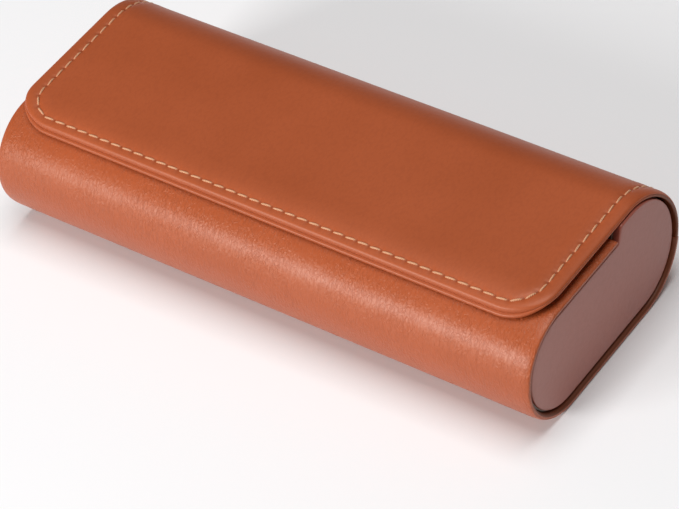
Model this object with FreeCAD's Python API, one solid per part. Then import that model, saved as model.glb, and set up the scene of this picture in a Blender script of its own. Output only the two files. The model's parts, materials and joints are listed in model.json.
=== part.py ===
import FreeCAD, Part
import math
import os

# A hard eyeglasses case, closed. A thin rigid former, C-shaped in section, is wrapped in leather and
# closed at both ends by flat covered panels. The same sheet of leather runs on from the back as a sewn
# flap with a stiffening board, which folds over the open top and is held down by two hidden magnets.
#
# Frame: X runs along the case, +Y points to the hinge at the back, +Z is up. The origin is the middle
# of the flat underside. Millimetres.

# ---- the case as a whole
case_length = 164.0        # over the end rims of the shell
case_depth = 67.0          # front to back
case_height = 35.5         # underside to the top of the closed flap

# ---- sheet materials
leather = 0.7              # outer cover, facing and end covers
former_wall = 0.8          # rigid C-shaped former
turn_in = 0.3              # thinned leather where it is folded over an edge
lining_wall = 0.6          # soft lining
end_board_wall = 1.5       # stiff board of an end panel
flap_board_wall = 1.2      # stiff board of the flap

# ---- shell
mouth_depth = 25.3         # from the lip's edge to the back of the case
lip_edge_radius = 0.6      # rounding of the leather at the lip's edge
lip_turn_in_width = 10.0   # leather folded under the lip
end_recess = 0.6           # end panels sit this far inside the end rims
panel_edge_radius = 0.5    # where the leather goes over an end panel's edge
lip_clearance = 3.0        # between the lip's edge and the raised part of an end panel
rise_radius = 1.1          # rounding of that raised part, above and below

# ---- flap
flap_inset = 1.1           # from each end rim to the side of the flap
flap_gap = 0.9             # between the lip and the underside of the flap
flap_rest_gap = 0.35       # between the end panels and the underside of the flap
flap_setback = 8.9         # from the front of the shell to the flap's lower front edge
flap_front_angle = 28.0    # how far the front of the flap bends down, degrees
flap_edge_clearance = 0.3  # between the flap's lower front edge and the shell
flap_corner_radius = 12.0
hem_width = 8.0            # leather folded in along the flap's edge

# ---- hinge: the bare leather between the former and the flap, as angles on the round back, degrees
hinge_low_angle = -20.0
hinge_high_angle = -3.0
flap_board_clearance = 0.3  # between the flap board and the leather folded round its edges

# ---- closure
magnet_radius = 6.0
magnet_spacing = 90.0
magnet_clearance = 0.1     # around a disc in its hole
magnet_margin = 1.1        # from where the flat of the flap's board begins to the magnets' holes

# ---- seam
stitch_inset = 4.0         # from the flap's edge
stitch_pitch = 3.65
stitch_length = 2.9
stitch_slant = 5.0         # degrees, each stitch's leading end turned in from the flap's edge
thread_radius = 0.35
thread_proud = 0.2         # how far a stitch stands above the leather
seam_end_angle = 18.0      # where the seam ends on the round back, degrees

tiny = 1e-6                # for comparing positions

# ---- worked out from the sizes above
half_length = case_length / 2
front_y = -case_depth / 2
flap_wall = 2 * leather + flap_board_wall
mid_offset = flap_wall / 2                        # where the cover's hem meets the facing's
flap_underside = case_height - flap_wall
lip_top = flap_underside - flap_gap
front_radius = lip_top / 2
back_radius = case_height / 2
front_centre_y = front_y + front_radius
back_centre_y = case_depth / 2 - back_radius
lip_edge_y = case_depth / 2 - mouth_depth
rim = leather + former_wall + turn_in             # thickness of the shell's end rim
former_inside = leather + former_wall
panel_outside_x = half_length - end_recess
panel_board_x = panel_outside_x - leather
panel_inside_x = panel_board_x - end_board_wall
lining_end_x = panel_inside_x - lining_wall
flap_half_length = half_length - flap_inset
facing_cross_angle = hinge_high_angle + math.degrees(leather / back_radius)

# The underside of the flap's front is an arc that leaves the flat top and comes down to the shell.
flap_edge_y = front_y + flap_setback
flap_edge_z = front_radius + math.sqrt(
    (front_radius + flap_edge_clearance) ** 2 - (flap_edge_y - front_centre_y) ** 2
)
bend = math.radians(flap_front_angle)
flap_front_radius = (flap_underside - flap_edge_z) / (1 - math.cos(bend))
flap_front_centre_y = flap_edge_y + flap_front_radius * math.sin(bend)
flap_front_centre_z = flap_underside - flap_front_radius
flap_tip_y = flap_front_centre_y - (flap_front_radius + flap_wall) * math.sin(bend)

# The magnets and their plates lie where the flap and the lip are flat, behind the flap's hem.
board_front_y = flap_tip_y + hem_width + flap_board_clearance
flat_top_y = max(flap_front_centre_y, front_centre_y, board_front_y)
magnet_y = flat_top_y + magnet_margin + magnet_clearance + magnet_radius


def point(y, z):
    return FreeCAD.Vector(0, y, z)


def line(a, b):
    return Part.LineSegment(a, b).toShape()


def on_circle(centre_y, centre_z, radius, degrees):
    """A point on a circle in the YZ plane; 0 degrees is +Y and 90 degrees is +Z."""
    angle = math.radians(degrees)
    return point(centre_y + radius * math.cos(angle), centre_z + radius * math.sin(angle))


def arc(centre_y, centre_z, radius, start, end):
    stops = [on_circle(centre_y, centre_z, radius, a) for a in (start, (start + end) / 2, end)]
    return Part.Arc(*stops).toShape()


def face_of(edges):
    return Part.Face(Part.Wire(Part.__sortEdges__(edges)))


def ends_of(edges):
    """First and last point of a chain of edges that run in order."""
    return edges[0].firstVertex(True).Point, edges[-1].lastVertex(True).Point


def between(outer, inner, from_x, to_x):
    """The solid between two parallel chains of edges, from one X to another."""
    outer_start, outer_end = ends_of(outer)
    inner_start, inner_end = ends_of(inner)
    face = face_of(outer + inner + [line(outer_start, inner_start), line(outer_end, inner_end)])
    return slab(face, from_x, to_x)


def slab(face, from_x, to_x):
    """A flat face in the YZ plane, made a solid from one X to another."""
    solid = face.extrude(FreeCAD.Vector(to_x - from_x, 0, 0))
    solid.translate(FreeCAD.Vector(from_x, 0, 0))
    return solid


def shell_path(depth, lip_y, end_angle=hinge_low_angle):
    """The shell's section at a depth under its outer face, from the lip round to the back."""
    top = lip_top - depth
    return [
        line(point(lip_y, top), point(front_centre_y, top)),
        arc(front_centre_y, front_radius, front_radius - depth, 90, 270),
        line(point(front_centre_y, depth), point(back_centre_y, depth)),
        arc(back_centre_y, back_radius, back_radius - depth, 270, 360 + end_angle),
    ]


def shell_layer(outside, inside, lip_y, half_x, end_angle=hinge_low_angle):
    """One layer of the shell, between two depths."""
    return between(
        shell_path(outside, lip_y, end_angle), shell_path(inside, lip_y, end_angle), -half_x, half_x
    )


def flap_path(depth, start_angle):
    """The flap's section at a depth under its outer face, from the hinge to the front edge."""
    top = case_height - depth
    front_arc_radius = flap_front_radius + flap_wall - depth
    return [
        arc(back_centre_y, back_radius, back_radius - depth, start_angle, 90),
        line(point(back_centre_y, top), point(flap_front_centre_y, top)),
        arc(flap_front_centre_y, flap_front_centre_z, front_arc_radius, 90, 90 + flap_front_angle),
    ]


def flap_outline(inset):
    """A tall block with the flap's plan, its front corners rounded, drawn in by inset."""
    half_x = flap_half_length - inset
    front = flap_tip_y + inset
    back = case_depth
    radius = max(flap_corner_radius - inset, leather)
    block = Part.makeBox(2 * half_x, back - front, 2 * case_height, FreeCAD.Vector(-half_x, front, 0))
    return block.makeFillet(radius, straight_edges(block, front, "Z"))


def flap_layer(outside, inside, inset, start_angle=hinge_high_angle):
    """One layer of the flap, between two depths, cut to its plan."""
    layer = between(
        flap_path(outside, start_angle), flap_path(inside, start_angle),
        -flap_half_length, flap_half_length,
    )
    return layer.common(flap_outline(inset))


def straight_edges(solid, y, long_axis):
    """The solid's straight edges that lie at one Y and run along X or Z."""
    return [
        e for e in solid.Edges
        if len(e.Vertexes) == 2 and all(abs(v.Y - y) < tiny for v in e.Vertexes)
        and getattr(e.BoundBox, long_axis + "Length") > e.Length - tiny
    ]


def only_solid(shape):
    """The shape as one clean solid."""
    solids = shape.removeSplitter().Solids
    if len(solids) != 1:
        raise ValueError(f"expected one solid, got {len(solids)}")
    return solids[0]


def disc(x, bottom_z, height, radius):
    return Part.makeCylinder(radius, height, FreeCAD.Vector(x, magnet_y, bottom_z))


def magnet_positions():
    return {"left": -magnet_spacing / 2, "right": magnet_spacing / 2}


def disc_pair(name, bottom_z, height):
    return {
        f"{side}_{name}": disc(x, bottom_z, height, magnet_radius)
        for side, x in magnet_positions().items()
    }


def with_disc_holes(sheet, bottom_z, height):
    """The sheet with a hole for each disc, cut from bottom_z up through a height."""
    for x in magnet_positions().values():
        sheet = sheet.cut(disc(x, bottom_z, height, magnet_radius + magnet_clearance))
    return sheet


# ---- the shell and what lines it

def make_shell_former():
    former = shell_layer(leather, former_inside, lip_edge_y - leather, half_length - leather)
    return only_solid(with_disc_holes(former, lip_top - rim, rim))


def make_shell_cover():
    """The leather round the former: its outer face, both end rims, and what is turned in."""
    wrapped = shell_layer(0, rim, lip_edge_y, half_length)
    wrapped = wrapped.makeFillet(lip_edge_radius, straight_edges(wrapped, lip_edge_y, "X"))
    past_hinge = hinge_low_angle + 1
    former_room = shell_layer(
        leather, former_inside, lip_edge_y - leather, half_length - leather, past_hinge
    )
    open_inside = shell_layer(
        former_inside, rim + leather, lip_edge_y - lip_turn_in_width, panel_inside_x, past_hinge
    )
    return only_solid(wrapped.cut(former_room).cut(open_inside))


def make_shell_lining():
    lip_end = lip_edge_y - lip_turn_in_width - lining_wall
    return only_solid(
        shell_layer(former_inside, former_inside + lining_wall, lip_end, lining_end_x)
    )


def make_keeper_plates():
    """Steel discs in the former's holes, under the lip's leather, which the magnets pull on."""
    return disc_pair("keeper_plate", lip_top - former_inside, former_wall)


# ---- end panels

def end_outline(inset):
    """An end panel's outline: inside the shell, and just under the flap where the lip ends."""
    in_shell = rim + inset
    under_flap = flap_wall + flap_rest_gap + inset
    low_z = lip_top - in_shell
    rise_y = lip_edge_y + lip_clearance + inset
    step_angle = hinge_low_angle - math.degrees(inset / back_radius)
    outer, inner = back_radius - in_shell, back_radius - under_flap
    round_end_angle = math.degrees(math.acos(max(0.0, (rise_y - back_centre_y) / inner)))
    round_end = on_circle(back_centre_y, back_radius, inner, round_end_angle)
    rise_top = point(rise_y, round_end.z)
    edges = [
        arc(front_centre_y, front_radius, front_radius - in_shell, 90, 270),
        line(point(front_centre_y, in_shell), point(back_centre_y, in_shell)),
        arc(back_centre_y, back_radius, outer, 270, 360 + step_angle),
        line(
            on_circle(back_centre_y, back_radius, outer, step_angle),
            on_circle(back_centre_y, back_radius, inner, step_angle),
        ),
        arc(back_centre_y, back_radius, inner, step_angle, round_end_angle),
        line(rise_top, point(rise_y, low_z)),
        line(point(rise_y, low_z), point(front_centre_y, low_z)),
    ]
    if round_end.distanceToPoint(rise_top) > tiny:
        edges.append(line(round_end, rise_top))
    return face_of(edges)


def panel_block(inset, from_x, to_x):
    """A solid with an end panel's outline, its rise behind the lip rounded at top and bottom."""
    block = slab(end_outline(inset), from_x, to_x)
    rise = straight_edges(block, lip_edge_y + lip_clearance + inset, "X")
    return block.makeFillet(rise_radius, rise)


def make_end_cover():
    """A shallow leather tray over the outside and the edge of the right end board."""
    block = panel_block(0, panel_inside_x, panel_outside_x)
    outside_edges = [e for e in block.Edges if abs(e.CenterOfMass.x - panel_outside_x) < tiny]
    block = block.makeFillet(panel_edge_radius, outside_edges)
    return only_solid(block.cut(panel_block(turn_in, panel_inside_x, panel_board_x)))


def make_end_board():
    return only_solid(panel_block(turn_in, panel_inside_x, panel_board_x))


def make_end_lining():
    """It reaches out over the end of the shell's lining."""
    return only_solid(panel_block(0, lining_end_x, panel_inside_x))


def mirrored(shape):
    return shape.mirror(FreeCAD.Vector(0, 0, 0), FreeCAD.Vector(1, 0, 0))


def make_ends():
    pieces = {}
    for name, make in (
        ("end_cover", make_end_cover), ("end_board", make_end_board), ("end_lining", make_end_lining)
    ):
        right = make()
        pieces["right_" + name] = right
        pieces["left_" + name] = mirrored(right)
    return pieces


# ---- hinge

def hinge_strip(outside, inside):
    """A strip of the bare leather that bends, between the former and the flap."""
    outer, inner = back_radius - outside, back_radius - inside
    return between(
        [arc(back_centre_y, back_radius, outer, hinge_low_angle, hinge_high_angle)],
        [arc(back_centre_y, back_radius, inner, hinge_low_angle, hinge_high_angle)],
        -half_length, half_length,
    )


# ---- flap

def make_flap_cover():
    """The flap's outer leather with the hem that is folded in along three edges."""
    return only_solid(
        flap_layer(0, mid_offset, 0).cut(flap_layer(leather, flap_wall, hem_width))
    )


def make_flap_facing(flap_cover):
    """The flap's inner leather with its own hem, which meets the cover's at the edge. Below the
    board it crosses over to the cover, where the hinge's facing goes on."""
    facing = flap_layer(mid_offset, flap_wall, 0).cut(
        flap_layer(0, flap_wall - leather, hem_width)
    )
    crossing = flap_layer(leather, flap_wall, 0).cut(
        flap_layer(0, flap_wall, -flap_wall, facing_cross_angle)
    )
    return only_solid(facing.fuse(crossing.cut(flap_cover)))


def make_flap_board():
    clear_angle = facing_cross_angle + math.degrees(flap_board_clearance / back_radius)
    board = flap_layer(leather, flap_wall - leather, hem_width + flap_board_clearance, clear_angle)
    return only_solid(with_disc_holes(board, flap_underside, flap_wall))


def make_magnets():
    return disc_pair("flap_magnet", flap_underside + leather, flap_board_wall)


# ---- the seam round the flap

def on_flap(travel, depth):
    """A point of the flap's section and its outward normal, by distance forward of the top of the
    round back along the outer face. A negative distance goes down the back."""
    flat = back_centre_y - flap_front_centre_y
    if travel < 0:
        angle = math.pi / 2 + travel / back_radius
        centre = point(back_centre_y, back_radius)
        radius = back_radius - depth
    elif travel <= flat:
        return point(back_centre_y - travel, case_height - depth), point(0, 1)
    else:
        angle = math.pi / 2 + (travel - flat) / (flap_front_radius + flap_wall)
        centre = point(flap_front_centre_y, flap_front_centre_z)
        radius = flap_front_radius + flap_wall - depth
    normal = point(math.cos(angle), math.sin(angle))
    return centre + normal * radius, normal


def seam_places():
    """(x, travel, direction) of each stitch, along the left side, the front and the right side.
    The direction is the seam's angle from +X towards the front, and the right half mirrors the left."""
    radius = max(flap_corner_radius - stitch_inset, thread_radius)
    side_x = flap_half_length - stitch_inset
    front_length = bend * (flap_front_radius + flap_wall)
    front = back_centre_y - flap_front_centre_y + front_length - stitch_inset
    start = -math.radians(90 - seam_end_angle) * back_radius
    side = front - radius - start
    corner = math.pi / 2 * radius
    across = 2 * (side_x - radius)
    total = 2 * side + 2 * corner + across
    count = int(total / stitch_pitch)
    spare = (total - count * stitch_pitch) / 2
    places = []
    for i in range(count):
        s = spare + (i + 0.5) * stitch_pitch
        side_sign = 1
        if s > total / 2:
            s = total - s
            side_sign = -1
        if s < side:
            x, travel, angle = -side_x, start + s, math.pi / 2
        elif s < side + corner:
            turn = (s - side) / radius
            x = -side_x + radius * (1 - math.cos(turn))
            travel = front - radius + radius * math.sin(turn)
            angle = math.pi / 2 - turn
        else:
            x, travel, angle = -side_x + radius + (s - side - corner), front, 0.0
        places.append((side_sign * x, travel, side_sign * angle))
    return places


def stitch(x, travel, direction, depth):
    """One stitch lying on the leather: a round bar with rounded ends."""
    half = stitch_length / 2 - thread_radius
    centre, normal = on_flap(travel, depth)
    forward = FreeCAD.Vector(0, -normal.z, normal.y)
    along = FreeCAD.Vector(math.cos(direction), 0, 0) + forward * math.sin(direction)
    centre = FreeCAD.Vector(x, centre.y, centre.z)
    start, end = centre - along * half, centre + along * half
    bar = Part.makeCylinder(thread_radius, 2 * half, start, along)
    for tip in (start, end):
        bar = bar.fuse(Part.makeSphere(thread_radius, tip))
    return only_solid(bar)


def make_thread(depth, slant):
    stitches = [
        stitch(x, travel, direction - math.radians(slant), depth)
        for x, travel, direction in seam_places()
    ]
    return Part.makeCompound(stitches)


def make_all():
    sunk = thread_radius - thread_proud
    flap_cover = make_flap_cover()
    return {
        "shell_former": make_shell_former(),
        "shell_cover": make_shell_cover(),
        "shell_lining": make_shell_lining(),
        **make_keeper_plates(),
        **make_ends(),
        "hinge_cover": hinge_strip(0, leather),
        "hinge_facing": hinge_strip(leather, 2 * leather),
        "flap_cover": flap_cover,
        "flap_facing": make_flap_facing(flap_cover),
        "flap_board": make_flap_board(),
        **make_magnets(),
        "needle_thread": make_thread(sunk, stitch_slant),
        "bobbin_thread": make_thread(flap_wall - sunk, 0.0),
    }


def main():
    os.makedirs("parts", exist_ok=True)
    for name, shape in make_all().items():
        shape.exportStep(f"parts/{name}.step")
    hinge = on_circle(
        back_centre_y, back_radius, back_radius - leather / 2, (hinge_low_angle + hinge_high_angle) / 2
    )
    print(f"hinge axis at y {hinge.y:.3f} z {hinge.z:.3f}; flap front edge at y {flap_tip_y:.3f}")


main()
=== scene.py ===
import json
import math
import random

import bpy
from mathutils import Matrix, Vector, noise


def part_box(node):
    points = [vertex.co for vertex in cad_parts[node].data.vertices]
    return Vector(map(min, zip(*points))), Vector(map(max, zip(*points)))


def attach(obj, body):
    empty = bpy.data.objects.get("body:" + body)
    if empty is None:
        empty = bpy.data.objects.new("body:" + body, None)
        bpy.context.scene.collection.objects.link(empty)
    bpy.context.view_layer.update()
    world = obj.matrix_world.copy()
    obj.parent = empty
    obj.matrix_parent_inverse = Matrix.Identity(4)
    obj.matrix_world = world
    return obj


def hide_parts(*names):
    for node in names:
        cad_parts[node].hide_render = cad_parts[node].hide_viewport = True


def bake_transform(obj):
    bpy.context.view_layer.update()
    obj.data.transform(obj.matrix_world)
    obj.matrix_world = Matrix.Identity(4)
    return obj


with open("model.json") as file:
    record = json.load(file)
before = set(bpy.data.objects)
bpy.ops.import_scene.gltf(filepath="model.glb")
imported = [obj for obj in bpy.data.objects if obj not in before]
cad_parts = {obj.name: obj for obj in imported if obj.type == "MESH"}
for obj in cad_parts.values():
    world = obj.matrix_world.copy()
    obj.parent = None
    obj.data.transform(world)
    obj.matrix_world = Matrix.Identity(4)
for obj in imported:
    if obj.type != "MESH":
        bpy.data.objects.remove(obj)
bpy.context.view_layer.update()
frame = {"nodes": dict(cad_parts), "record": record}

# A leather-covered eyeglasses case. Every leather, lining and thread piece is made flat, as a pattern
# on the bench: X across the case, Y along the pattern and Z up from the outer face. Then it is wrapped
# round the case's section.

mm = 0.001
mouth_clearance = 0.3 * mm      # between the lip's edge and the box of the frame's mouth
random.seed(7)

# ---- sizes taken from the frame
shell_low, shell_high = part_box("shell_cover")
flap_low, flap_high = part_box("flap_cover")
hinge_low, hinge_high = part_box("hinge_cover")
panel_low, panel_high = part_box("right_end_cover")
lining_low, lining_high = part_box("right_end_lining")
former_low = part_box("shell_former")[0]
shell_lining_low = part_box("shell_lining")[0]
mouth_low = next(o for o in frame["record"]["physics"]["openings"] if o["name"] == "mouth")["box_m"][0]

half_length = shell_high[0]
flap_half_length = flap_high[0]
front_y, back_y = shell_low[1], flap_high[1]
lip_top, case_top = shell_high[2], flap_high[2]
front_radius, back_radius = lip_top / 2, case_top / 2
front_centre_y = front_y + front_radius
back_centre_y = back_y - back_radius
leather = former_low[2]
rim = panel_low[2]
lining_out = shell_lining_low[2]
lining_wall = lining_high[0] - lining_low[0]
board_wall = case_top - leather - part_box("left_flap_magnet")[0][2]
flap_wall = 2 * leather + board_wall
lip_edge_y = mouth_low[1] - mouth_clearance
hinge_low_angle = math.degrees(math.asin((hinge_low[2] - back_radius) / back_radius))
hinge_high_angle = math.degrees(math.asin((flap_low[2] - back_radius) / back_radius))

# ---- sizes of the looks
flap_setback = 8.9 * mm         # from the front of the shell to the flap's lower front edge
flap_front_angle = 28.0         # degrees that the flap's front bends down
flap_clearance = 0.3 * mm       # between the flap's lower front edge and the shell
flap_corner_radius = 12.0 * mm
facing_step = 1.15 * mm         # at the front, the facing's edge shows this far outside the cover's
side_step = 0.15 * mm           # and this far at the sides
side_wall = 1.45 * mm           # the flap's sides are only its two leathers, pressed together
panel_rise_start = 0.6 * mm     # from the lip's edge to where an end panel starts to rise
panel_rise_length = 2.7 * mm
panel_clearance = 0.3 * mm      # between an end panel's raised part and the flap
panel_edge_round = 0.5 * mm
panel_crown = 0.1 * mm
panel_strip = 2.4 * mm          # width of the strips that an end panel's middle is cut in
stitch_inset = 4.0 * mm
stitch_pitch = 3.65 * mm
stitch_length = 3.35 * mm
stitch_slant = math.radians(5)
stitch_dive = 0.34 * mm         # how far a stitch's ends go down into the leather
stitch_sink = 0.12 * mm         # how far the middle of the thread lies below the leather's face
thread_radius = 0.29 * mm
seam_end_angle = 18.0           # where the seam ends on the round back, in degrees
groove_depth = 0.2 * mm         # the thread pulls the leather down along the seam
groove_width = 0.62 * mm
lip_turn_in = 10.0 * mm
panel_gap = 0.55 * mm           # the dark line round an end panel
end_round_width = 2.5 * mm      # the shell's leather rounding over at its ends
end_round_drop = 0.5 * mm
rim_inner_round = 1.3 * mm      # the same leather rounding over on its way inside


# ---- sections: a start (y, z), a heading, and runs of (length, radius or None), turning right

def section_of(start, heading, runs):
    return {"start": start, "heading": math.radians(heading), "runs": runs}


def length_of(section):
    return sum(length for length, radius in section["runs"])


def on_section(section, travel, height):
    """Where a flat pattern's point lands: (y, z) at a travel along the section's outer face and a
    height above it."""
    y, z = section["start"]
    heading = section["heading"]
    for length, radius in section["runs"]:
        part = min(travel, length)
        if radius:
            y += radius * math.sin(heading)
            z -= radius * math.cos(heading)
            heading -= part / radius
            y -= radius * math.sin(heading)
            z += radius * math.cos(heading)
        else:
            y += part * math.cos(heading)
            z += part * math.sin(heading)
        travel -= part
        if travel <= 0:
            break
    y += travel * math.cos(heading)
    z += travel * math.sin(heading)
    return y - height * math.sin(heading), z + height * math.cos(heading)


def on_circle(centre_y, centre_z, radius, degrees):
    angle = math.radians(degrees)
    return centre_y + radius * math.cos(angle), centre_z + radius * math.sin(angle)


def arc_length(radius, degrees):
    return radius * math.radians(degrees)


# The shell's pattern starts at the hinge, runs under the bottom and up the front, and ends at the lip.
shell_section = section_of(
    on_circle(back_centre_y, back_radius, back_radius, hinge_low_angle),
    hinge_low_angle - 90,
    [
        (arc_length(back_radius, 90 + hinge_low_angle), back_radius),
        (back_centre_y - front_centre_y, None),
        (arc_length(front_radius, 180), front_radius),
        (lip_edge_y - front_centre_y, None),
    ],
)

# The flap's pattern starts at its front edge, runs over the top and down the back, and ends at the
# lower edge of the hinge.
flap_edge_y = front_y + flap_setback
flap_edge_z = front_radius + math.sqrt(
    (front_radius + flap_clearance) ** 2 - (flap_edge_y - front_centre_y) ** 2
)
flap_bend = math.radians(flap_front_angle)
flap_underside = case_top - flap_wall
flap_front_radius = (flap_underside - flap_edge_z) / (1 - math.cos(flap_bend)) + flap_wall
flap_front_centre_y = flap_edge_y + (flap_front_radius - flap_wall) * math.sin(flap_bend)
flap_section = section_of(
    on_circle(flap_front_centre_y, case_top - flap_front_radius, flap_front_radius, 90 + flap_front_angle),
    flap_front_angle,
    [
        (flap_front_radius * flap_bend, flap_front_radius),
        (back_centre_y - flap_front_centre_y, None),
        (arc_length(back_radius, 90 - hinge_low_angle), back_radius),
    ],
)
flap_length = length_of(flap_section)
hinge_height = arc_length(back_radius, hinge_high_angle - hinge_low_angle)
back_top_travel = flap_length - arc_length(back_radius, 90 - hinge_low_angle)
seam_end_travel = back_top_travel + arc_length(back_radius, 90 - seam_end_angle)


# ---- shaping helpers

def smooth_step(value, low, high):
    t = min(max((value - low) / (high - low), 0), 1)
    return t * t * (3 - 2 * t)


def mix(a, b, t):
    return a + (b - a) * t


def rounding(distance, width, drop):
    """How far a surface has dropped at a distance inside an edge that is rounded over a width."""
    if distance >= width:
        return 0
    inside = max(1 - (1 - distance / width) ** 2, 0)
    return drop * (1 - math.sqrt(inside))


def hump(value, centre, width):
    return math.exp(-(((value - centre) / width) ** 2))


def unevenness(x, travel, seed):
    """Slight waves that leather keeps where it is glued down by hand."""
    wide = noise.noise(Vector((x / (31 * mm), travel / (24 * mm), seed)))
    close = noise.noise(Vector((x / (9 * mm), travel / (8 * mm), seed + 5)))
    return 0.055 * mm * wide + 0.014 * mm * close


def spaced(start, end, step):
    """Evenly spaced stops from start up to, but not including, end."""
    count = max(1, round((end - start) / step))
    return [start + (end - start) * i / count for i in range(count)]


margin_stops = [0, .06, .16, .3, .46, .65, .87, 1.1, 1.35, 1.65, 2.0, 2.35, 2.65, 2.9, 3.1, 3.28, 3.42,
                3.56, 3.74, 3.98, 4.3, 4.7, 5.3, 6.1, 7.0, 8.0, 9.0, 9.9]


def mirrored_columns(half, stops, inner_step):
    """Places of the columns across a piece: close together at both ends, even between."""
    end = [half - stop * mm for stop in stops]
    inner = end[-1]
    return [-x for x in end] + spaced(-inner, inner, inner_step)[1:] + end[::-1]


# ---- modelling helpers

def flat_sheet(name, columns, rows):
    """A flat grid whose loops are slid to the given columns and rows."""
    bpy.ops.object.select_all(action="DESELECT")
    across, along = len(columns) - 1, len(rows) - 1
    bpy.ops.mesh.primitive_grid_add(x_subdivisions=across, y_subdivisions=along, size=2)
    sheet = bpy.context.active_object
    sheet.name = name
    sheet.data.name = name
    for v in sheet.data.vertices:
        column = round((v.co.x + 1) / 2 * across)
        row = round((v.co.y + 1) / 2 * along)
        v.co = (columns[column], rows[row], 0)
    return sheet


def thicken(sheet, top, bottom):
    """Gives a flat sheet its thickness, then moves its two faces to the heights that the functions
    top(x, travel) and bottom(x, travel) give."""
    bpy.ops.object.modifier_add(type="SOLIDIFY")
    solidify = sheet.modifiers[-1]
    solidify.thickness = 1 * mm
    solidify.offset = -1
    bpy.ops.object.modifier_apply(modifier=solidify.name)
    for v in sheet.data.vertices:
        face = top if v.co.z > -0.5 * mm else bottom
        v.co.z = face(v.co.x, v.co.y)


def lay_pattern(sheet, values):
    """Stores two numbers for each point, from values(x, travel), as the piece's UV map."""
    flat = [values(v.co.x, v.co.y) for v in sheet.data.vertices]
    layer = sheet.data.uv_layers[0]
    layer.name = "pattern"
    for loop, uv in zip(sheet.data.loops, layer.data):
        uv.uv = flat[loop.vertex_index]


def move_points(sheet, place):
    for v in sheet.data.vertices:
        v.co = place(*v.co)


def wrap(sheet, section):
    """Bends a flat piece round a section of the case."""
    move_points(sheet, lambda x, travel, height: (x, *on_section(section, travel, height)))


def clean(piece, angle=50):
    """Merges doubled points, turns the faces outwards and smooths all but the sharpest edges."""
    bpy.ops.object.select_all(action="DESELECT")
    piece.select_set(True)
    bpy.context.view_layer.objects.active = piece
    bpy.ops.object.mode_set(mode="EDIT")
    bpy.ops.mesh.select_all(action="SELECT")
    bpy.ops.mesh.remove_doubles(threshold=0.004 * mm)
    bpy.ops.mesh.dissolve_degenerate(threshold=0.004 * mm)
    bpy.ops.mesh.normals_make_consistent(inside=False)
    bpy.ops.object.mode_set(mode="OBJECT")
    bpy.ops.object.shade_smooth_by_angle(angle=math.radians(angle))


def paint(piece, material):
    piece.data.materials.clear()
    piece.data.materials.append(material)


# ---- the flap's outline, in its pattern

def edge_distance(x, travel):
    """Distance inside the flap's outer edge, on the pattern before its corners are rounded."""
    return min(flap_half_length - abs(x), travel)


def corner_share(x, travel):
    """How far round its corner a point lies, from 0 at the arc's end to 1 on the corner's diagonal,
    or None outside the corners."""
    beside, ahead = flap_half_length - abs(x), travel
    if max(beside, ahead) >= flap_corner_radius:
        return None
    nearest = min(beside, ahead)
    return (flap_corner_radius - max(beside, ahead)) / (flap_corner_radius - nearest)


def round_the_corner(x, travel):
    """The way the nearest edge faces, in degrees: 0 at the flap's sides and 90 at its front."""
    share = corner_share(x, travel)
    at_side = flap_half_length - abs(x) < travel
    if share is None:
        return 0 if at_side else 90
    return 45 * share if at_side else 90 - 45 * share


def at_sides(x, travel):
    """1 along the flap's sides and 0 along its front, changing smoothly round the corners."""
    return 1 - smooth_step(round_the_corner(x, travel), 12, 78)


def round_corners(x, travel, height, outward=0):
    """Moves a point of a square front corner to its place in the rounded corner, and any point
    outward from the flap's middle."""
    beside, ahead = flap_half_length - abs(x), travel
    angle = math.radians(round_the_corner(x, travel))
    side = math.copysign(1, x)
    if corner_share(x, travel) is None:
        return x + side * outward * math.cos(angle), travel - outward * math.sin(angle), height
    reach = flap_corner_radius - min(beside, ahead) + outward
    x = side * (flap_half_length - flap_corner_radius + reach * math.cos(angle))
    return x, flap_corner_radius - reach * math.sin(angle), height


def in_hinge(travel):
    """0 on the flap and 1 on the bare leather of the hinge."""
    top = flap_length - hinge_height
    return smooth_step(travel, top - 2.2 * mm, top + 0.2 * mm)


def widen_to_shell(x, travel, height):
    """The hinge is as wide as the shell, a little more than the flap."""
    return x * mix(1, half_length / flap_half_length, in_hinge_round(travel)), travel, height


seam_radius = flap_corner_radius - stitch_inset
seam_side = seam_end_travel - flap_corner_radius
seam_corner = math.pi / 2 * seam_radius
seam_front = 2 * (flap_half_length - flap_corner_radius)
seam_length = 2 * seam_side + 2 * seam_corner + seam_front
stitch_count = int(seam_length / stitch_pitch)
seam_spare = (seam_length - stitch_count * stitch_pitch) / 2


def seam_travel(x, travel):
    """How far along the seam a point of the square-cornered pattern lies, counted from the left."""
    share = corner_share(x, travel)
    if share is not None:
        angle = math.radians(45) * share
        if travel < flap_half_length - abs(x):
            angle = math.radians(90) - angle
        along = seam_side + seam_radius * angle
    elif travel < flap_half_length - abs(x):
        return seam_length / 2 + x
    else:
        along = seam_end_travel - travel
    return along if x < 0 else seam_length - along


def seam_place(along):
    """(x, travel, angle) on the pattern at a distance along the seam; the angle is from +X."""
    mirror = 1
    if along > seam_length / 2:
        along, mirror = seam_length - along, -1
    side_x = flap_half_length - stitch_inset
    if along < seam_side:
        x, travel, angle = -side_x, seam_end_travel - along, -math.pi / 2
    elif along < seam_side + seam_corner:
        turn = (along - seam_side) / seam_radius
        x = -side_x + seam_radius * (1 - math.cos(turn))
        travel = flap_corner_radius - seam_radius * math.sin(turn)
        angle = turn - math.pi / 2
    else:
        x = -side_x + seam_radius + along - seam_side - seam_corner
        travel, angle = stitch_inset, 0
    return mirror * x, travel, mirror * angle


def in_seam(travel):
    """1 beside the seam and 0 past its end."""
    return 1 - smooth_step(travel, seam_end_travel - 1 * mm, seam_end_travel + 4 * mm)


def in_hinge_round(travel):
    """0 on the flap's top and 1 at the hinge, changing all the way round the back."""
    return smooth_step(travel, back_top_travel, flap_length - hinge_height)


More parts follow.
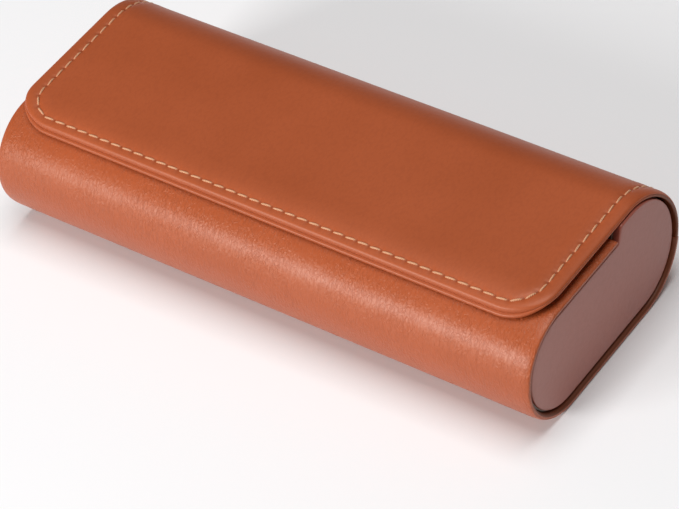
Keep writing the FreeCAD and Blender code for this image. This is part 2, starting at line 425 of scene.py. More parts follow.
def near_edge(x, travel):
    """1 at the flap's edge and 0 where its board begins."""
    return 1 - smooth_step(edge_distance(x, travel), 3.4 * mm, 7.5 * mm)


def edge_wall(x, travel):
    """The flap's thickness at its nearest edge."""
    wall = mix(flap_wall, side_wall, at_sides(x, travel))
    return mix(wall, 2 * leather, in_hinge(travel))


def meeting(x, travel):
    """The depth at which the flap's two leathers meet."""
    inner = mix(flap_wall / 2, leather, in_hinge(travel))
    return mix(inner, edge_wall(x, travel) / 2, near_edge(x, travel))


# ---- the flap's two leathers

def flap_rows(first):
    flat_end = back_top_travel
    hinge_start = flap_length - hinge_height
    stops = [first + stop * mm for stop in margin_stops]
    stops += spaced(stops[-1] + 0.9 * mm, flat_end, 2.4 * mm)
    stops += spaced(flat_end, hinge_start - 2 * mm, 1.1 * mm)
    stops += spaced(hinge_start - 2 * mm, flap_length, 0.4 * mm)
    return stops + [flap_length]


def cover_top(x, travel):
    inside = edge_distance(x, travel) - facing_step
    width = mix(1.3 * mm, 1.2 * mm, at_sides(x, travel))
    height = -rounding(inside, width, meeting(x, travel) - 0.05 * mm)
    seam = stitch_inset - facing_step
    height -= groove_depth * hump(inside, seam, groove_width) * in_seam(travel)
    height += 0.08 * mm * hump(inside, seam + 2.4 * mm, 1.5 * mm) * in_seam(travel)
    height += 0.03 * mm * hump(inside, seam - 1.5 * mm, 0.7 * mm) * in_seam(travel)
    fade = smooth_step(inside, 0, 6 * mm)
    return height + fade * unevenness(x, travel, 3)


def cover_bottom(x, travel):
    return -meeting(x, travel)


def place_cover(x, travel, height):
    """Rounds the corners, and lets the cover's side edges come out nearly to the facing's."""
    near = 1 - smooth_step(edge_distance(x, travel), facing_step, stitch_inset - 0.6 * mm)
    outward = (facing_step - side_step) * near * at_sides(x, travel)
    return round_corners(x, travel, height, outward)


def seam_pattern(x, travel):
    """U counts the stitches along the seam and V is the distance inside the edge in centimetres."""
    stitches = (seam_travel(x, travel) - seam_spare) / stitch_pitch
    return stitches, edge_distance(x, travel) / (10 * mm)


def make_flap_cover(material):
    columns = mirrored_columns(flap_half_length - facing_step, margin_stops, 3 * mm)
    cover = flat_sheet("flap_outer_leather", columns, flap_rows(facing_step))
    thicken(cover, cover_top, cover_bottom)
    lay_pattern(cover, seam_pattern)
    move_points(cover, place_cover)
    move_points(cover, widen_to_shell)
    wrap(cover, flap_section)
    clean(cover)
    paint(cover, material)
    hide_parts("flap_cover", "hinge_cover")
    return cover


def facing_top(x, travel):
    bead = edge_wall(x, travel) / 4
    return -meeting(x, travel) - rounding(edge_distance(x, travel), bead, bead)


def facing_bottom(x, travel):
    lower = mix(flap_wall, 2 * leather, in_hinge(travel))
    lower = mix(lower, edge_wall(x, travel), near_edge(x, travel))
    bead = edge_wall(x, travel) / 4
    distance = edge_distance(x, travel)
    height = -lower + rounding(distance, bead, bead)
    height += 0.12 * mm * hump(distance, stitch_inset, 0.6 * mm) * in_seam(travel)
    fade = smooth_step(distance, 5 * mm, 9 * mm)
    return height + fade * 0.6 * unevenness(x, travel, 11)


def make_flap_facing(material):
    columns = mirrored_columns(flap_half_length, margin_stops + [11], 3 * mm)
    facing = flat_sheet("flap_inner_leather", columns, flap_rows(0))
    thicken(facing, facing_top, facing_bottom)
    lay_pattern(facing, seam_pattern)
    move_points(facing, round_corners)
    move_points(facing, widen_to_shell)
    wrap(facing, flap_section)
    clean(facing)
    paint(facing, material)
    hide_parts("flap_facing", "hinge_facing", "flap_board")
    return facing


# ---- the stitches

def make_stitch(name):
    """One stitch on the bench: a plump thread whose two ends dive into the leather."""
    bpy.ops.object.select_all(action="DESELECT")
    bpy.ops.mesh.primitive_uv_sphere_add(segments=8, ring_count=10, radius=thread_radius)
    stitch = bpy.context.active_object
    stitch.name = name
    bpy.ops.object.mode_set(mode="EDIT")
    bpy.ops.mesh.select_all(action="SELECT")
    bpy.ops.transform.rotate(value=math.radians(90), orient_axis="Y", center_override=(0, 0, 0))
    bpy.ops.object.mode_set(mode="OBJECT")
    half = stitch_length / 2
    for v in stitch.data.vertices:
        share = min(max(v.co.x / thread_radius, -1), 1)
        girth = (1 - abs(share) ** 3.2) ** 0.5 / max((1 - share * share) ** 0.5, 0.05)
        girth = min(girth, 1.45)
        drop = stitch_dive * abs(share) ** 4
        v.co = (half * share, v.co.y * girth, v.co.z * girth * 0.9 - drop)
    return stitch


def make_stitches(name, node, height, material, upside_down):
    """A row of stitches round the flap, on its face or, upside down, on its underside."""
    pattern = make_stitch(name + "_pattern")
    copies = []
    for i in range(stitch_count):
        copy = pattern.copy()
        copy.data = pattern.data.copy()
        bpy.context.collection.objects.link(copy)
        x, travel, angle = seam_place(seam_spare + (i + 0.5) * stitch_pitch)
        turn = angle + stitch_slant + math.radians(random.uniform(-1.5, 1.5))
        place = Matrix.Translation((x, travel, height)) @ Matrix.Rotation(turn, 4, "Z")
        if upside_down:
            place = place @ Matrix.Rotation(math.pi, 4, "X")
        copy.data.transform(place)
        move_points(copy, widen_to_shell)
        wrap(copy, flap_section)
        copies.append(copy)
    bpy.data.objects.remove(pattern)
    bpy.ops.object.select_all(action="DESELECT")
    for copy in copies:
        copy.select_set(True)
    bpy.context.view_layer.objects.active = copies[0]
    bpy.ops.object.join()
    thread = bpy.context.active_object
    thread.name = name
    thread.data.name = name
    clean(thread, 80)
    paint(thread, material)
    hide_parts(node)
    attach(thread, "flap")
    return thread


# ---- the shell

shell_length = length_of(shell_section)


def end_distance(x):
    return half_length - abs(x)


def shell_top(x, travel):
    end = rounding(end_distance(x), end_round_width, end_round_drop)
    lip = rounding(shell_length - travel, 1.0 * mm, 0.8 * mm)
    height = -min(math.hypot(end, lip), rim * 0.46)
    fade = smooth_step(end_distance(x), 0, 8 * mm) * smooth_step(travel, 0, 4 * mm)
    fade *= smooth_step(shell_length - travel, 0, 6 * mm)
    return height + fade * unevenness(x, travel, 23)


def shell_bottom(x, travel):
    end = rounding(end_distance(x), rim_inner_round, 0.75 * mm)
    lip = rounding(shell_length - travel, 0.9 * mm, 0.8 * mm)
    return -rim + min(math.hypot(end, lip), rim * 0.48)


def shell_rows():
    back, bottom, front, lip = [length for length, radius in shell_section["runs"]]
    stops = spaced(0, back, 1.2 * mm)
    stops += spaced(back, back + bottom, 3 * mm)
    stops += spaced(back + bottom, back + bottom + front, 1.1 * mm)
    lip_margin = [4, 3, 2.2, 1.6, 1.2, .95, .75, .55, .38, .24, .12, .04, 0]
    stops += spaced(back + bottom + front, shell_length - lip_margin[0] * mm, 3 * mm)
    return stops + [shell_length - stop * mm for stop in lip_margin]


def shell_pattern(x, travel):
    """U is the travel and V the distance inside the nearest end, both in centimetres."""
    return travel / (10 * mm), end_distance(x) / (10 * mm)


def make_shell_cover(material, inner_material):
    end_stops = [0, .03, .1, .2, .34, .5, .7, .95, 1.25, 1.6, 2.0, 2.4, 2.8, 3.4, 4.4, 6, 8]
    columns = mirrored_columns(half_length, end_stops, 3 * mm)
    cover = flat_sheet("shell_leather", columns, shell_rows())
    thicken(cover, shell_top, shell_bottom)
    lay_pattern(cover, shell_pattern)
    paint(cover, material)
    # Inner faces, the rim's inside rounding among them, get a darker leather: painted shade for the gaps.
    cover.data.materials.append(inner_material)
    for face in cover.data.polygons:
        if face.center.z < -0.6 * rim:
            face.material_index = 1
    wrap(cover, shell_section)
    clean(cover)
    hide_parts("shell_cover")
    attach(cover, "case_body")
    return cover


# ---- the lining

def make_shell_lining(material):
    inner_end = lining_low[0]
    under_lip = shell_length - lip_turn_in - lining_wall

    def edge(x, travel):
        distance = min(inner_end - abs(x), travel, under_lip - travel)
        return rounding(distance, 0.6 * mm, 0.45 * mm)

    def top(x, travel):
        return -lining_out

    def bottom(x, travel):
        plush = 0.5 * unevenness(x, travel, 41)
        return -lining_out - lining_wall + edge(x, travel) + plush

    end_stops = [0, .1, .25, .45, .7, 1.2, 2.5, 5]
    rows = [stop * mm for stop in end_stops] + spaced(7 * mm, under_lip - 6 * mm, 1.6 * mm)
    rows += [under_lip - stop * mm for stop in end_stops[::-1]]
    lining = flat_sheet("shell_velour", mirrored_columns(inner_end, end_stops, 4 * mm), rows)
    thicken(lining, top, bottom)
    lay_pattern(lining, shell_pattern)
    wrap(lining, shell_section)
    clean(lining)
    paint(lining, material)
    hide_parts("shell_lining")
    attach(lining, "case_body")
    return lining


# ---- end panels

def panel_outline(gap, rise_start, rise_length):
    """Points round an end panel as (y, z): inside the shell, up behind the lip, and under the flap."""
    points = []
    lip_stop = shell_length - (lip_edge_y - front_centre_y)
    for travel in spaced(0, lip_stop, 1.3 * mm) + spaced(lip_stop, shell_length, 2.5 * mm):
        points.append(on_section(shell_section, travel, -rim - gap))
    low_z = lip_top - rim - gap
    high_z = case_top - side_wall - panel_clearance
    rise_y = lip_edge_y + rise_start
    for i in range(13):
        share = i / 12
        points.append((rise_y + rise_length * share, mix(low_z, high_z, smooth_step(share, 0, 1))))
    rise_end = back_top_travel - (back_centre_y - rise_y - rise_length)
    flat = spaced(rise_end, back_top_travel, 2.2 * mm)[1:]
    for travel in flat + spaced(back_top_travel, flap_length, 1.3 * mm):
        depth = mix(side_wall + panel_clearance, rim + gap, in_hinge_round(travel))
        points.append(on_section(flap_section, travel, -depth))
    return points


def inside_outline(y, z, outline):
    """How far a point lies from the nearest side of an outline."""
    point = Vector((y, z))
    nearest = 1.0
    for i, (start_y, start_z) in enumerate(outline):
        start, end = Vector((start_y, start_z)), Vector(outline[i - 1])
        run = end - start
        share = min(max((point - start).dot(run) / max(run.length_squared, 1e-12), 0), 1)
        nearest = min(nearest, (point - start - share * run).length)
    return nearest


def cut_in_strips(axis, low, high, step):
    """Slices the piece in hand across an axis, so that its flat middle can be shaped."""
    normal = (1, 0, 0) if axis == 0 else (0, 1, 0)
    for stop in spaced(low, high, step)[1:]:
        bpy.ops.mesh.select_all(action="SELECT")
        bpy.ops.mesh.bisect(plane_co=(normal[0] * stop, normal[1] * stop, 0), plane_no=normal)


def make_panel(name, outline, outside_x, inside_x, edge_steps, crown, side):
    """An end panel, made lying down: a disc slid to the outline, its edge rounded by insets and its
    middle crowned a little, as leather over a board."""
    bpy.ops.object.select_all(action="DESELECT")
    bpy.ops.mesh.primitive_circle_add(vertices=len(outline), radius=1, fill_type="NGON")
    panel = bpy.context.active_object
    panel.name = name
    panel.data.name = name
    ring = sorted(panel.data.vertices, key=lambda v: math.atan2(v.co.y, v.co.x))
    for v, (y, z) in zip(ring, reversed(outline)):
        v.co = (y, z, 0)
    bpy.ops.object.mode_set(mode="EDIT")
    bpy.ops.mesh.select_all(action="SELECT")
    bpy.ops.mesh.normals_make_consistent(inside=False)
    for thickness, depth in edge_steps:
        bpy.ops.mesh.inset(thickness=thickness, depth=depth, use_even_offset=False)
    ys, zs = [y for y, z in outline], [z for y, z in outline]
    cut_in_strips(0, min(ys), max(ys), panel_strip)
    cut_in_strips(1, min(zs), max(zs), panel_strip)
    bpy.ops.mesh.select_all(action="SELECT")
    bpy.ops.mesh.region_to_loop()
    bpy.ops.mesh.extrude_edges_move(TRANSFORM_OT_translate={"value": (0, 0, inside_x - outside_x)})
    bpy.ops.mesh.edge_face_add()
    bpy.ops.object.mode_set(mode="OBJECT")
    top = max(v.co.z for v in panel.data.vertices)
    edge = sum(thickness for thickness, depth in edge_steps)
    for v in panel.data.vertices:
        y, z, out = v.co
        if out > top - 0.001 * mm:
            deep = max(inside_outline(y, z, outline) - edge, 0)
            out += crown * (1 - math.exp(-deep / (3.5 * mm)))
            out += unevenness(y, z, 60 + side) * smooth_step(deep, 0, 6 * mm)
        v.co = (side * (outside_x + out - top), y, z)
    clean(panel, 60)
    return panel


def rounded_steps(radius, count):
    """(thickness, depth) insets that round an edge over by a quarter circle."""
    steps = []
    for i in range(count):
        a, b = math.pi / 2 * i / count, math.pi / 2 * (i + 1) / count
        steps.append((radius * (math.cos(a) - math.cos(b)), radius * (math.sin(b) - math.sin(a))))
    return steps


def make_ends(leather_material, lining_material):
    leather_outline = panel_outline(panel_gap, panel_rise_start, panel_rise_length)
    velour_outline = panel_outline(0.25 * mm, 0.3 * mm, 1.4 * mm)
    for side, word in ((1, "right"), (-1, "left")):
        cover = make_panel(
            word + "_panel_leather", leather_outline, panel_high[0], panel_low[0],
            rounded_steps(panel_edge_round, 5), panel_crown, side,
        )
        paint(cover, leather_material)
        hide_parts(word + "_end_cover")
        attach(cover, "case_body")
        lining = make_panel(
            word + "_panel_velour", velour_outline, -lining_low[0], -lining_high[0],
            rounded_steps(0.3 * mm, 3), 0, -side,
        )
        paint(lining, lining_material)
        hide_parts(word + "_end_lining")
        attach(lining, "case_body")


# ---- materials

def node(tree, kind, inputs=None, **settings):
    made = tree.nodes.new(kind)
    for name, value in settings.items():
        setattr(made, name, value)
    for name, value in (inputs or {}).items():
        socket = made.inputs[name]
        if isinstance(value, bpy.types.NodeSocket):
            tree.links.new(value, socket)
        else:
            socket.default_value = value
    return made


def math_node(tree, operation, a, b=0.0):
    return node(tree, "ShaderNodeMath", {0: a, 1: b}, operation=operation).outputs[0]


def new_group(name, inputs, outputs):
    """A shader node group with number and vector inputs, and its input and output nodes."""
    group = bpy.data.node_groups.new(name, "ShaderNodeTree")
    for socket, value in inputs.items():
        kind = "NodeSocketVector" if socket == "Vector" else "NodeSocketFloat"
        made = group.interface.new_socket(socket, in_out="INPUT", socket_type=kind)
        if value is not None:
            made.default_value = value
    for socket in outputs:
        group.interface.new_socket(socket, in_out="OUTPUT", socket_type="NodeSocketFloat")
    return group, group.nodes.new("NodeGroupInput").outputs, group.nodes.new("NodeGroupOutput").inputs


def make_grain_group():
    """Fine leather grain: rounded pebbles between creases, stretched across the case."""
    inputs = {"Vector": None, "Pebbles per metre": 1500.0, "Stretch": 0.6}
    group, given, out = new_group("leather_grain", inputs, ["Height", "Creases"])
    stretch = node(group, "ShaderNodeCombineXYZ", {"X": 1.0, "Y": given["Stretch"], "Z": given["Stretch"]})
    along = node(
        group, "ShaderNodeVectorMath", {0: given["Vector"], 1: stretch.outputs[0]}, operation="MULTIPLY"
    )
    bend = node(group, "ShaderNodeTexNoise", {"Vector": along.outputs[0], "Scale": 420.0, "Detail": 2.0})
    bend_small = node(
        group, "ShaderNodeVectorMath", {0: bend.outputs["Color"], "Scale": 0.0011}, operation="SCALE"
    )
    wavy = node(
        group, "ShaderNodeVectorMath", {0: along.outputs[0], 1: bend_small.outputs[0]}, operation="ADD"
    )
    cells = node(
        group, "ShaderNodeTexVoronoi",
        {"Vector": wavy.outputs[0], "Scale": given["Pebbles per metre"], "Smoothness": 0.6},
        feature="SMOOTH_F1",
    )
    fine = node(group, "ShaderNodeTexNoise", {"Vector": wavy.outputs[0], "Scale": 5200.0, "Detail": 3.0})
    pebbles = math_node(group, "SUBTRACT", 1.0, cells.outputs["Distance"])
    height = math_node(group, "MULTIPLY_ADD", fine.outputs[0], 0.35)
    group.links.new(pebbles, group.nodes[-1].inputs[2])
    creases = node(
        group, "ShaderNodeMapRange",
        {"Value": cells.outputs["Distance"], "From Min": 0.35, "From Max": 0.8},
        interpolation_type="SMOOTHSTEP",
    )
    group.links.new(height, out["Height"])
    group.links.new(creases.outputs[0], out["Creases"])
    return group


def make_wrinkle_group():
    """Short wavy wrinkles, longer round the section than along the case, as a bent hide gets."""
    group, given, out = new_group("bend_wrinkles", {"Vector": None, "Wrinkles per metre": 1250.0}, ["Height"])
    stretch = node(group, "ShaderNodeCombineXYZ", {"X": 1.0, "Y": 0.42, "Z": 0.42})
    along = node(
        group, "ShaderNodeVectorMath", {0: given["Vector"], 1: stretch.outputs[0]}, operation="MULTIPLY"
    )
    folds = node(
        group, "ShaderNodeTexNoise",
        {"Vector": along.outputs[0], "Scale": given["Wrinkles per metre"], "Detail": 3.0, "Distortion": 0.6},
    )
    ridge = math_node(group, "SUBTRACT", folds.outputs[0], 0.5)
    ridge = math_node(group, "ABSOLUTE", ridge)
    ridge = node(
        group, "ShaderNodeMapRange", {"Value": ridge, "From Min": 0.0, "From Max": 0.16},
        interpolation_type="SMOOTHSTEP",
    )
    patches = node(group, "ShaderNodeTexNoise", {"Vector": given["Vector"], "Scale": 60.0, "Detail": 2.0})
    strength = node(
        group, "ShaderNodeMapRange",
        {"Value": patches.outputs[0], "From Min": 0.3, "From Max": 0.65, "To Min": 0.35},
    )
    group.links.new(math_node(group, "MULTIPLY", ridge.outputs[0], strength.outputs[0]), out["Height"])
    return group


def make_tone_group():
    """Cloudy unevenness of a dyed hide: broad clouds with finer ones inside them."""
    group, given, out = new_group("dye_clouds", {"Vector": None, "Clouds per metre": 28.0}, ["Clouds"])
    broad = node(
        group, "ShaderNodeTexNoise",
        {"Vector": given["Vector"], "Scale": given["Clouds per metre"], "Detail": 4.0, "Roughness": 0.55},
    )
    spread = node(
        group, "ShaderNodeMapRange", {"Value": broad.outputs[0], "From Min": 0.25, "From Max": 0.75}
    )
    group.links.new(spread.outputs[0], out["Clouds"])
    return group


def make_seam_group():
    """What a seam does to leather: a pucker round each needle hole, and painted shade in each hole."""
    inputs = {"Stitches": 0.0, "Inside": 0.0, "Line": stitch_inset / (10 * mm)}
    group, given, out = new_group("seam_marks", inputs, ["Pucker", "Holes"])
    place = math_node(group, "FRACT", given["Stitches"])
    from_hole = math_node(group, "SUBTRACT", place, 0.5)
    from_hole = math_node(group, "ABSOLUTE", from_hole)
    near_hole = node(
        group, "ShaderNodeMapRange", {"Value": from_hole, "From Min": 0.22, "From Max": 0.5},
        interpolation_type="SMOOTHSTEP",
    ).outputs[0]
    across = math_node(group, "SUBTRACT", given["Inside"], given["Line"])
    across = math_node(group, "ABSOLUTE", across)
    on_line = node(
        group, "ShaderNodeMapRange",
        {"Value": across, "From Min": 0.0, "From Max": 0.16, "To Min": 1.0, "To Max": 0.0},
        interpolation_type="SMOOTHSTEP",
    ).outputs[0]
    pucker = math_node(group, "MULTIPLY", near_hole, on_line)
    hole_along = node(
        group, "ShaderNodeMapRange", {"Value": from_hole, "From Min": 0.4, "From Max": 0.49},
        interpolation_type="SMOOTHSTEP",
    ).outputs[0]
    hole_across = node(
        group, "ShaderNodeMapRange",
        {"Value": across, "From Min": 0.01, "From Max": 0.06, "To Min": 1.0, "To Max": 0.0},
        interpolation_type="SMOOTHSTEP",
    ).outputs[0]
    group.links.new(pucker, out["Pucker"])
    group.links.new(math_node(group, "MULTIPLY", hole_along, hole_across), out["Holes"])
    return group


def new_material(name):
    material = bpy.data.materials.new(name)
    material.use_nodes = True
    tree = material.node_tree
    return material, tree, tree.nodes["Principled BSDF"]


def mix_colours(tree, share, first, second):
    made = node(tree, "ShaderNodeMix", data_type="RGBA")
    for socket, value in ((made.inputs[0], share), (made.inputs[6], first), (made.inputs[7], second)):
        if isinstance(value, bpy.types.NodeSocket):
            tree.links.new(value, socket)
        else:
            socket.default_value = value
    return made.outputs[2]


def make_leather(
    name, tone, grain_depth, wrinkle_depth, roughness, finish, seam=False, shift=(0, 0, 0), back_shade_tone=None,
):
    """Dyed and polished leather. The tone is its dark and light colours, and the finish is how much of
    its glossy coat is left. A back shade tone takes over towards the round back of the case, as painted
    shade."""
    material, tree, shader = new_material(name)
    place = node(tree, "ShaderNodeTexCoord").outputs["Object"]
    place = node(tree, "ShaderNodeMapping", {"Vector": place, "Location": shift}).outputs[0]
    grain = node(tree, "ShaderNodeGroup", node_tree=groups["grain"])
    tree.links.new(place, grain.inputs["Vector"])
    clouds = node(tree, "ShaderNodeGroup", node_tree=groups["tone"])
    tree.links.new(place, clouds.inputs["Vector"])
    clouds = clouds.outputs["Clouds"]
    colour = mix_colours(tree, clouds, *tone)
    # Towards the back the colour is mixed into a darker tone: painted shade, not a change in the leather.
    if back_shade_tone:
        back = node(tree, "ShaderNodeSeparateXYZ", {0: place}).outputs[1]
        back = node(
            tree, "ShaderNodeMapRange",
            {"Value": back, "From Min": back_centre_y, "From Max": back_y - 3 * mm},
        ).outputs[0]
        colour = mix_colours(tree, back, colour, mix_colours(tree, clouds, *back_shade_tone))
    crease_share = math_node(tree, "MULTIPLY", grain.outputs["Creases"], 0.1)
    colour = mix_colours(tree, crease_share, colour, leather_deep)
    rough = math_node(tree, "MULTIPLY", clouds, 0.07)
    rough = math_node(tree, "ADD", rough, roughness)
    bump = node(tree, "ShaderNodeBump", {"Height": grain.outputs["Height"], "Distance": grain_depth})
    if wrinkle_depth:
        wrinkles = node(tree, "ShaderNodeGroup", node_tree=groups["wrinkles"])
        tree.links.new(place, wrinkles.inputs["Vector"])
        bump = node(
            tree, "ShaderNodeBump",
            {"Height": wrinkles.outputs["Height"], "Distance": wrinkle_depth, "Normal": bump.outputs[0]},
        )
    if seam:
        uv = node(tree, "ShaderNodeUVMap", uv_map="pattern").outputs[0]
        parts = node(tree, "ShaderNodeSeparateXYZ", {0: uv}).outputs
        marks = node(tree, "ShaderNodeGroup", node_tree=groups["seam"])
        tree.links.new(parts[0], marks.inputs["Stitches"])
        tree.links.new(parts[1], marks.inputs["Inside"])
        # Needle holes are painted darker, as the shade inside them.
        colour = mix_colours(tree, marks.outputs["Holes"], colour, needle_hole_shade)
        sink = math_node(tree, "SUBTRACT", 1.0, marks.outputs["Pucker"])
        bump = node(
            tree, "ShaderNodeBump", {"Height": sink, "Distance": 0.1 * mm, "Normal": bump.outputs[0]}
        )
    tree.links.new(colour, shader.inputs["Base Color"])
    tree.links.new(rough, shader.inputs["Roughness"])
    tree.links.new(bump.outputs[0], shader.inputs["Normal"])
    shader.inputs["Coat Weight"].default_value = finish
    shader.inputs["Coat Roughness"].default_value = 0.26
    shader.inputs["Specular Tint"].default_value = (1.0, 0.8, 0.66, 1)
    return material


def make_thread_material():
    """Waxed sewing thread: three plies twisted together, with painted shade in the grooves between them."""
    material, tree, shader = new_material("waxed_thread")
    uv = node(tree, "ShaderNodeUVMap", uv_map="UVMap").outputs[0]
    parts = node(tree, "ShaderNodeSeparateXYZ", {0: uv}).outputs
    turns = math_node(tree, "MULTIPLY", parts[1], 9.0)
    ply = math_node(tree, "ADD", turns, math_node(tree, "MULTIPLY", parts[0], 3.0))
    ply = math_node(tree, "SINE", math_node(tree, "MULTIPLY", ply, 2 * math.pi))
    crown = node(tree, "ShaderNodeMapRange", {"Value": ply, "From Min": -1.0}).outputs[0]
    place = node(tree, "ShaderNodeTexCoord").outputs["Object"]
    soil = node(tree, "ShaderNodeTexNoise", {"Vector": place, "Scale": 160.0, "Detail": 3.0}).outputs[0]
    # Darker colour in the grooves between plies, lighter on their crowns: painted shade.
    colour = mix_colours(tree, crown, (0.58, 0.26, 0.13, 1), (0.8, 0.43, 0.245, 1))
    colour = mix_colours(tree, math_node(tree, "MULTIPLY", soil, 0.3), colour, (0.55, 0.27, 0.13, 1))
    bump = node(tree, "ShaderNodeBump", {"Height": crown, "Distance": 0.07 * mm})
    tree.links.new(colour, shader.inputs["Base Color"])
    tree.links.new(bump.outputs[0], shader.inputs["Normal"])
    rough = math_node(tree, "MULTIPLY_ADD", soil, 0.2)
    tree.nodes[-1].inputs[2].default_value = 0.4
    tree.links.new(rough, shader.inputs["Roughness"])
    return material


def make_velour():
    """Short-pile lining: a dark brown pile that lies in patches, with fine fibres."""
    material, tree, shader = new_material("brown_velour")
    place = node(tree, "ShaderNodeTexCoord").outputs["Object"]
    pile = node(tree, "ShaderNodeTexNoise", {"Vector": place, "Scale": 3800.0, "Detail": 4.0}).outputs[0]
    lie = node(tree, "ShaderNodeTexNoise", {"Vector": place, "Scale": 55.0, "Detail": 3.0}).outputs[0]
    pile_share = math_node(tree, "MULTIPLY", pile, 0.55)
    lie_share = math_node(tree, "MULTIPLY", lie, 0.5)
    share = math_node(tree, "ADD", pile_share, lie_share)
    colour = mix_colours(tree, share, (0.028, 0.013, 0.008, 1), (0.15, 0.075, 0.045, 1))
    bump = node(tree, "ShaderNodeBump", {"Height": pile, "Distance": 0.16 * mm})
    tree.links.new(colour, shader.inputs["Base Color"])
    tree.links.new(bump.outputs[0], shader.inputs["Normal"])
    rough = node(tree, "ShaderNodeMapRange", {"Value": pile, "To Min": 0.8, "To Max": 1.0}).outputs[0]
    tree.links.new(rough, shader.inputs["Roughness"])
    shader.inputs["Sheen Weight"].default_value = 0.6
    shader.inputs["Sheen Roughness"].default_value = 0.45
    shader.inputs["Sheen Tint"].default_value = (0.55, 0.38, 0.3, 1)
    return material


def make_plain(name, dark, light, scale, roughness, metallic=0.0, stretch=(1, 1, 1), depth=0.02):
    """A hidden sheet or disc: two close colours in streaks or specks."""
    material, tree, shader = new_material(name)
    place = node(tree, "ShaderNodeTexCoord").outputs["Object"]
    place = node(tree, "ShaderNodeMapping", {"Vector": place, "Scale": stretch}).outputs[0]
    specks = node(tree, "ShaderNodeTexNoise", {"Vector": place, "Scale": scale, "Detail": 5.0}).outputs[0]
    tree.links.new(mix_colours(tree, specks, dark, light), shader.inputs["Base Color"])
    rough = node(
        tree, "ShaderNodeMapRange",
        {"Value": specks, "To Min": roughness - 0.08, "To Max": roughness + 0.08},
    ).outputs[0]
    tree.links.new(rough, shader.inputs["Roughness"])
    bump = node(tree, "ShaderNodeBump", {"Height": specks, "Distance": depth * mm})
    tree.links.new(bump.outputs[0], shader.inputs["Normal"])
    shader.inputs["Metallic"].default_value = metallic
    return material


# ---- surroundings

def make_floor():
    bpy.ops.object.select_all(action="DESELECT")
    bpy.ops.mesh.primitive_plane_add(size=6)
    floor = bpy.context.active_object
    floor.name = "floor"
    material, tree, shader = new_material("pale_floor")
    shader.inputs["Base Color"].default_value = (0.93, 0.93, 0.94, 1)
    shader.inputs["Roughness"].default_value = 0.7
    paint(floor, material)


def add_softbox(name, place, target, width, height, power):
    lamp = bpy.data.lights.new(name, "AREA")
    lamp.shape = "RECTANGLE"
    lamp.size, lamp.size_y = width, height
    lamp.energy = power
    holder = bpy.data.objects.new(name, lamp)
    holder.location = place
    holder.rotation_euler = (Vector(target) - Vector(place)).to_track_quat("-Z", "Y").to_euler()
    bpy.context.collection.objects.link(holder)


def make_lights():
    world = bpy.data.worlds.new("studio")
    bpy.context.scene.world = world
    world.use_nodes = True
    world.node_tree.nodes["Background"].inputs["Color"].default_value = (1.0, 0.98, 0.96, 1)
    world.node_tree.nodes["Background"].inputs["Strength"].default_value = 0.17
    middle = (0, 0, 0.02)
    add_softbox("key_softbox", (-0.4, -1.03, 0.4), middle, 0.6, 0.36, 10.6)
    add_softbox("top_softbox", (0.05, 0.0, 1.3), middle, 1.0, 0.8, 11.3)


def make_camera():
    azimuth, elevation, roll = math.radians(44.48), math.radians(43.25), math.radians(-12.5)
    distance = 0.874
    back = Vector((math.sin(azimuth), -math.cos(azimuth), math.tan(elevation))).normalized()
    level = Vector((math.cos(azimuth), math.sin(azimuth), 0))
    rise = back.cross(level)
    right = math.cos(roll) * level + math.sin(roll) * rise
    up = back.cross(right)
    looked_at = Vector((0, 0, 0.017))
    place = looked_at + distance * back
    aim = looked_at + 2.43 * mm * right - 14.0 * mm * up
    out = (place - aim).normalized()
    across = up.cross(out).normalized()
    upward = out.cross(across)
    data = bpy.data.cameras.new("camera")
    data.lens = 185.57
    data.sensor_width = 36
    data.clip_start = 0.01
    camera = bpy.data.objects.new("camera", data)
    turned = Matrix((across, upward, out)).transposed().to_4x4()
    camera.matrix_world = Matrix.Translation(place) @ turned
    bpy.context.collection.objects.link(camera)
    bpy.context.scene.camera = camera


tan = ((0.36, 0.07, 0.017, 1), (0.415, 0.084, 0.023, 1))
# The end panels' tan is greyer and bluer than the rest: the leather's colour with a painted sheen mixed in.
panel_tan_and_painted_sheen = ((0.315, 0.073, 0.047, 1), (0.35, 0.088, 0.057, 1))
# A darker tan used as painted shade: inside the shell's rim and towards the back of the flap's inner leather.
painted_shade_tan = ((0.12, 0.026, 0.007, 1), (0.17, 0.038, 0.011, 1))
leather_deep = (0.19, 0.03, 0.008, 1)
# Colour of the needle holes: painted shade.
needle_hole_shade = (0.24, 0.048, 0.013, 1)
groups = {
    "grain": make_grain_group(), "wrinkles": make_wrinkle_group(),
    "tone": make_tone_group(), "seam": make_seam_group(),
}


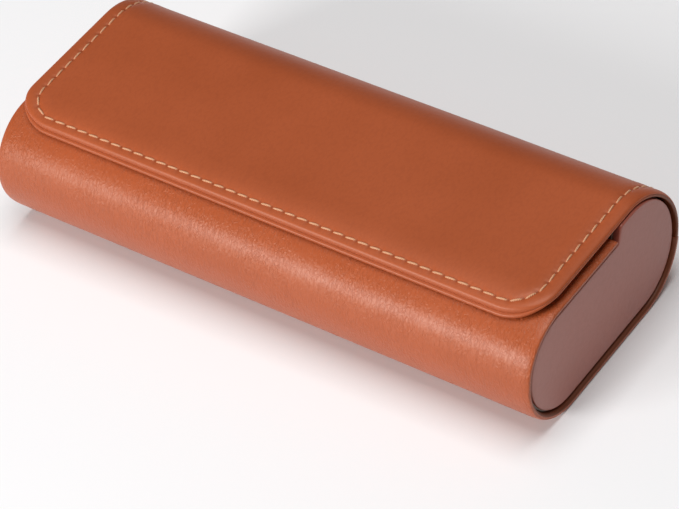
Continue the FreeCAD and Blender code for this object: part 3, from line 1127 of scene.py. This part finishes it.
def repaint(names, material):
    for name in names:
        paint(frame["nodes"][name], material)


def main():
    make_camera()
    make_floor()
    make_lights()
    flap_leather = make_leather("smooth_flap_leather", tan, 0.012 * mm, 0.006 * mm, 0.44, 0.07, seam=True)
    shell_leather = make_leather(
        "wrinkled_shell_leather", tan, 0.035 * mm, 0.09 * mm, 0.36, 0.14)
    # Darker leather for the inside of the shell's rim: painted shade, not a different leather.
    rim_shade_leather = make_leather("turned_in_leather", painted_shade_tan, 0.02 * mm, 0, 0.5, 0.1, shift=(0.3, 0.1, 0))
    # End panel leather, its colour partly a painted sheen of the bright surroundings.
    panel_leather = make_leather(
        "panel_leather", panel_tan_and_painted_sheen, 0.02 * mm, 0.006 * mm, 0.42, 0.65, shift=(0.6, 0.2, 0.1))
    # The flap's inner leather darkens towards the round back: painted shade.
    inner_leather = make_leather(
        "flap_inner_leather", tan, 0.012 * mm, 0.006 * mm, 0.43, 0.14, seam=True, back_shade_tone=painted_shade_tan)
    velour = make_velour()
    thread = make_thread_material()
    cover = make_flap_cover(flap_leather)
    facing = make_flap_facing(inner_leather)
    for piece in (cover, facing):
        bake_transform(piece)
    make_shell_cover(shell_leather, rim_shade_leather)
    make_shell_lining(velour)
    make_ends(panel_leather, velour)
    make_stitches("needle_stitches", "needle_thread", -stitch_sink, thread, False)
    make_stitches("bobbin_stitches", "bobbin_thread", -flap_wall + stitch_sink, thread, True)
    repaint(["shell_former"], make_plain(
        "black_former_sheet", (0.02, 0.02, 0.022, 1), (0.05, 0.05, 0.052, 1), 300, 0.5))
    repaint(["left_end_board", "right_end_board"], make_plain(
        "grey_board", (0.2, 0.18, 0.15, 1), (0.42, 0.39, 0.34, 1), 900, 0.85, stretch=(0.3, 1, 1)))
    repaint(["left_keeper_plate", "right_keeper_plate"], make_plain(
        "steel_disc", (0.45, 0.45, 0.46, 1), (0.62, 0.62, 0.63, 1), 500, 0.35, 1.0, (0.1, 1, 1), 0.005))
    repaint(["left_flap_magnet", "right_flap_magnet"], make_plain(
        "nickel_plating", (0.55, 0.53, 0.5, 1), (0.72, 0.7, 0.66, 1), 260, 0.22, 1.0, depth=0.004))
    bpy.context.scene.view_settings.view_transform = "Standard"


main()
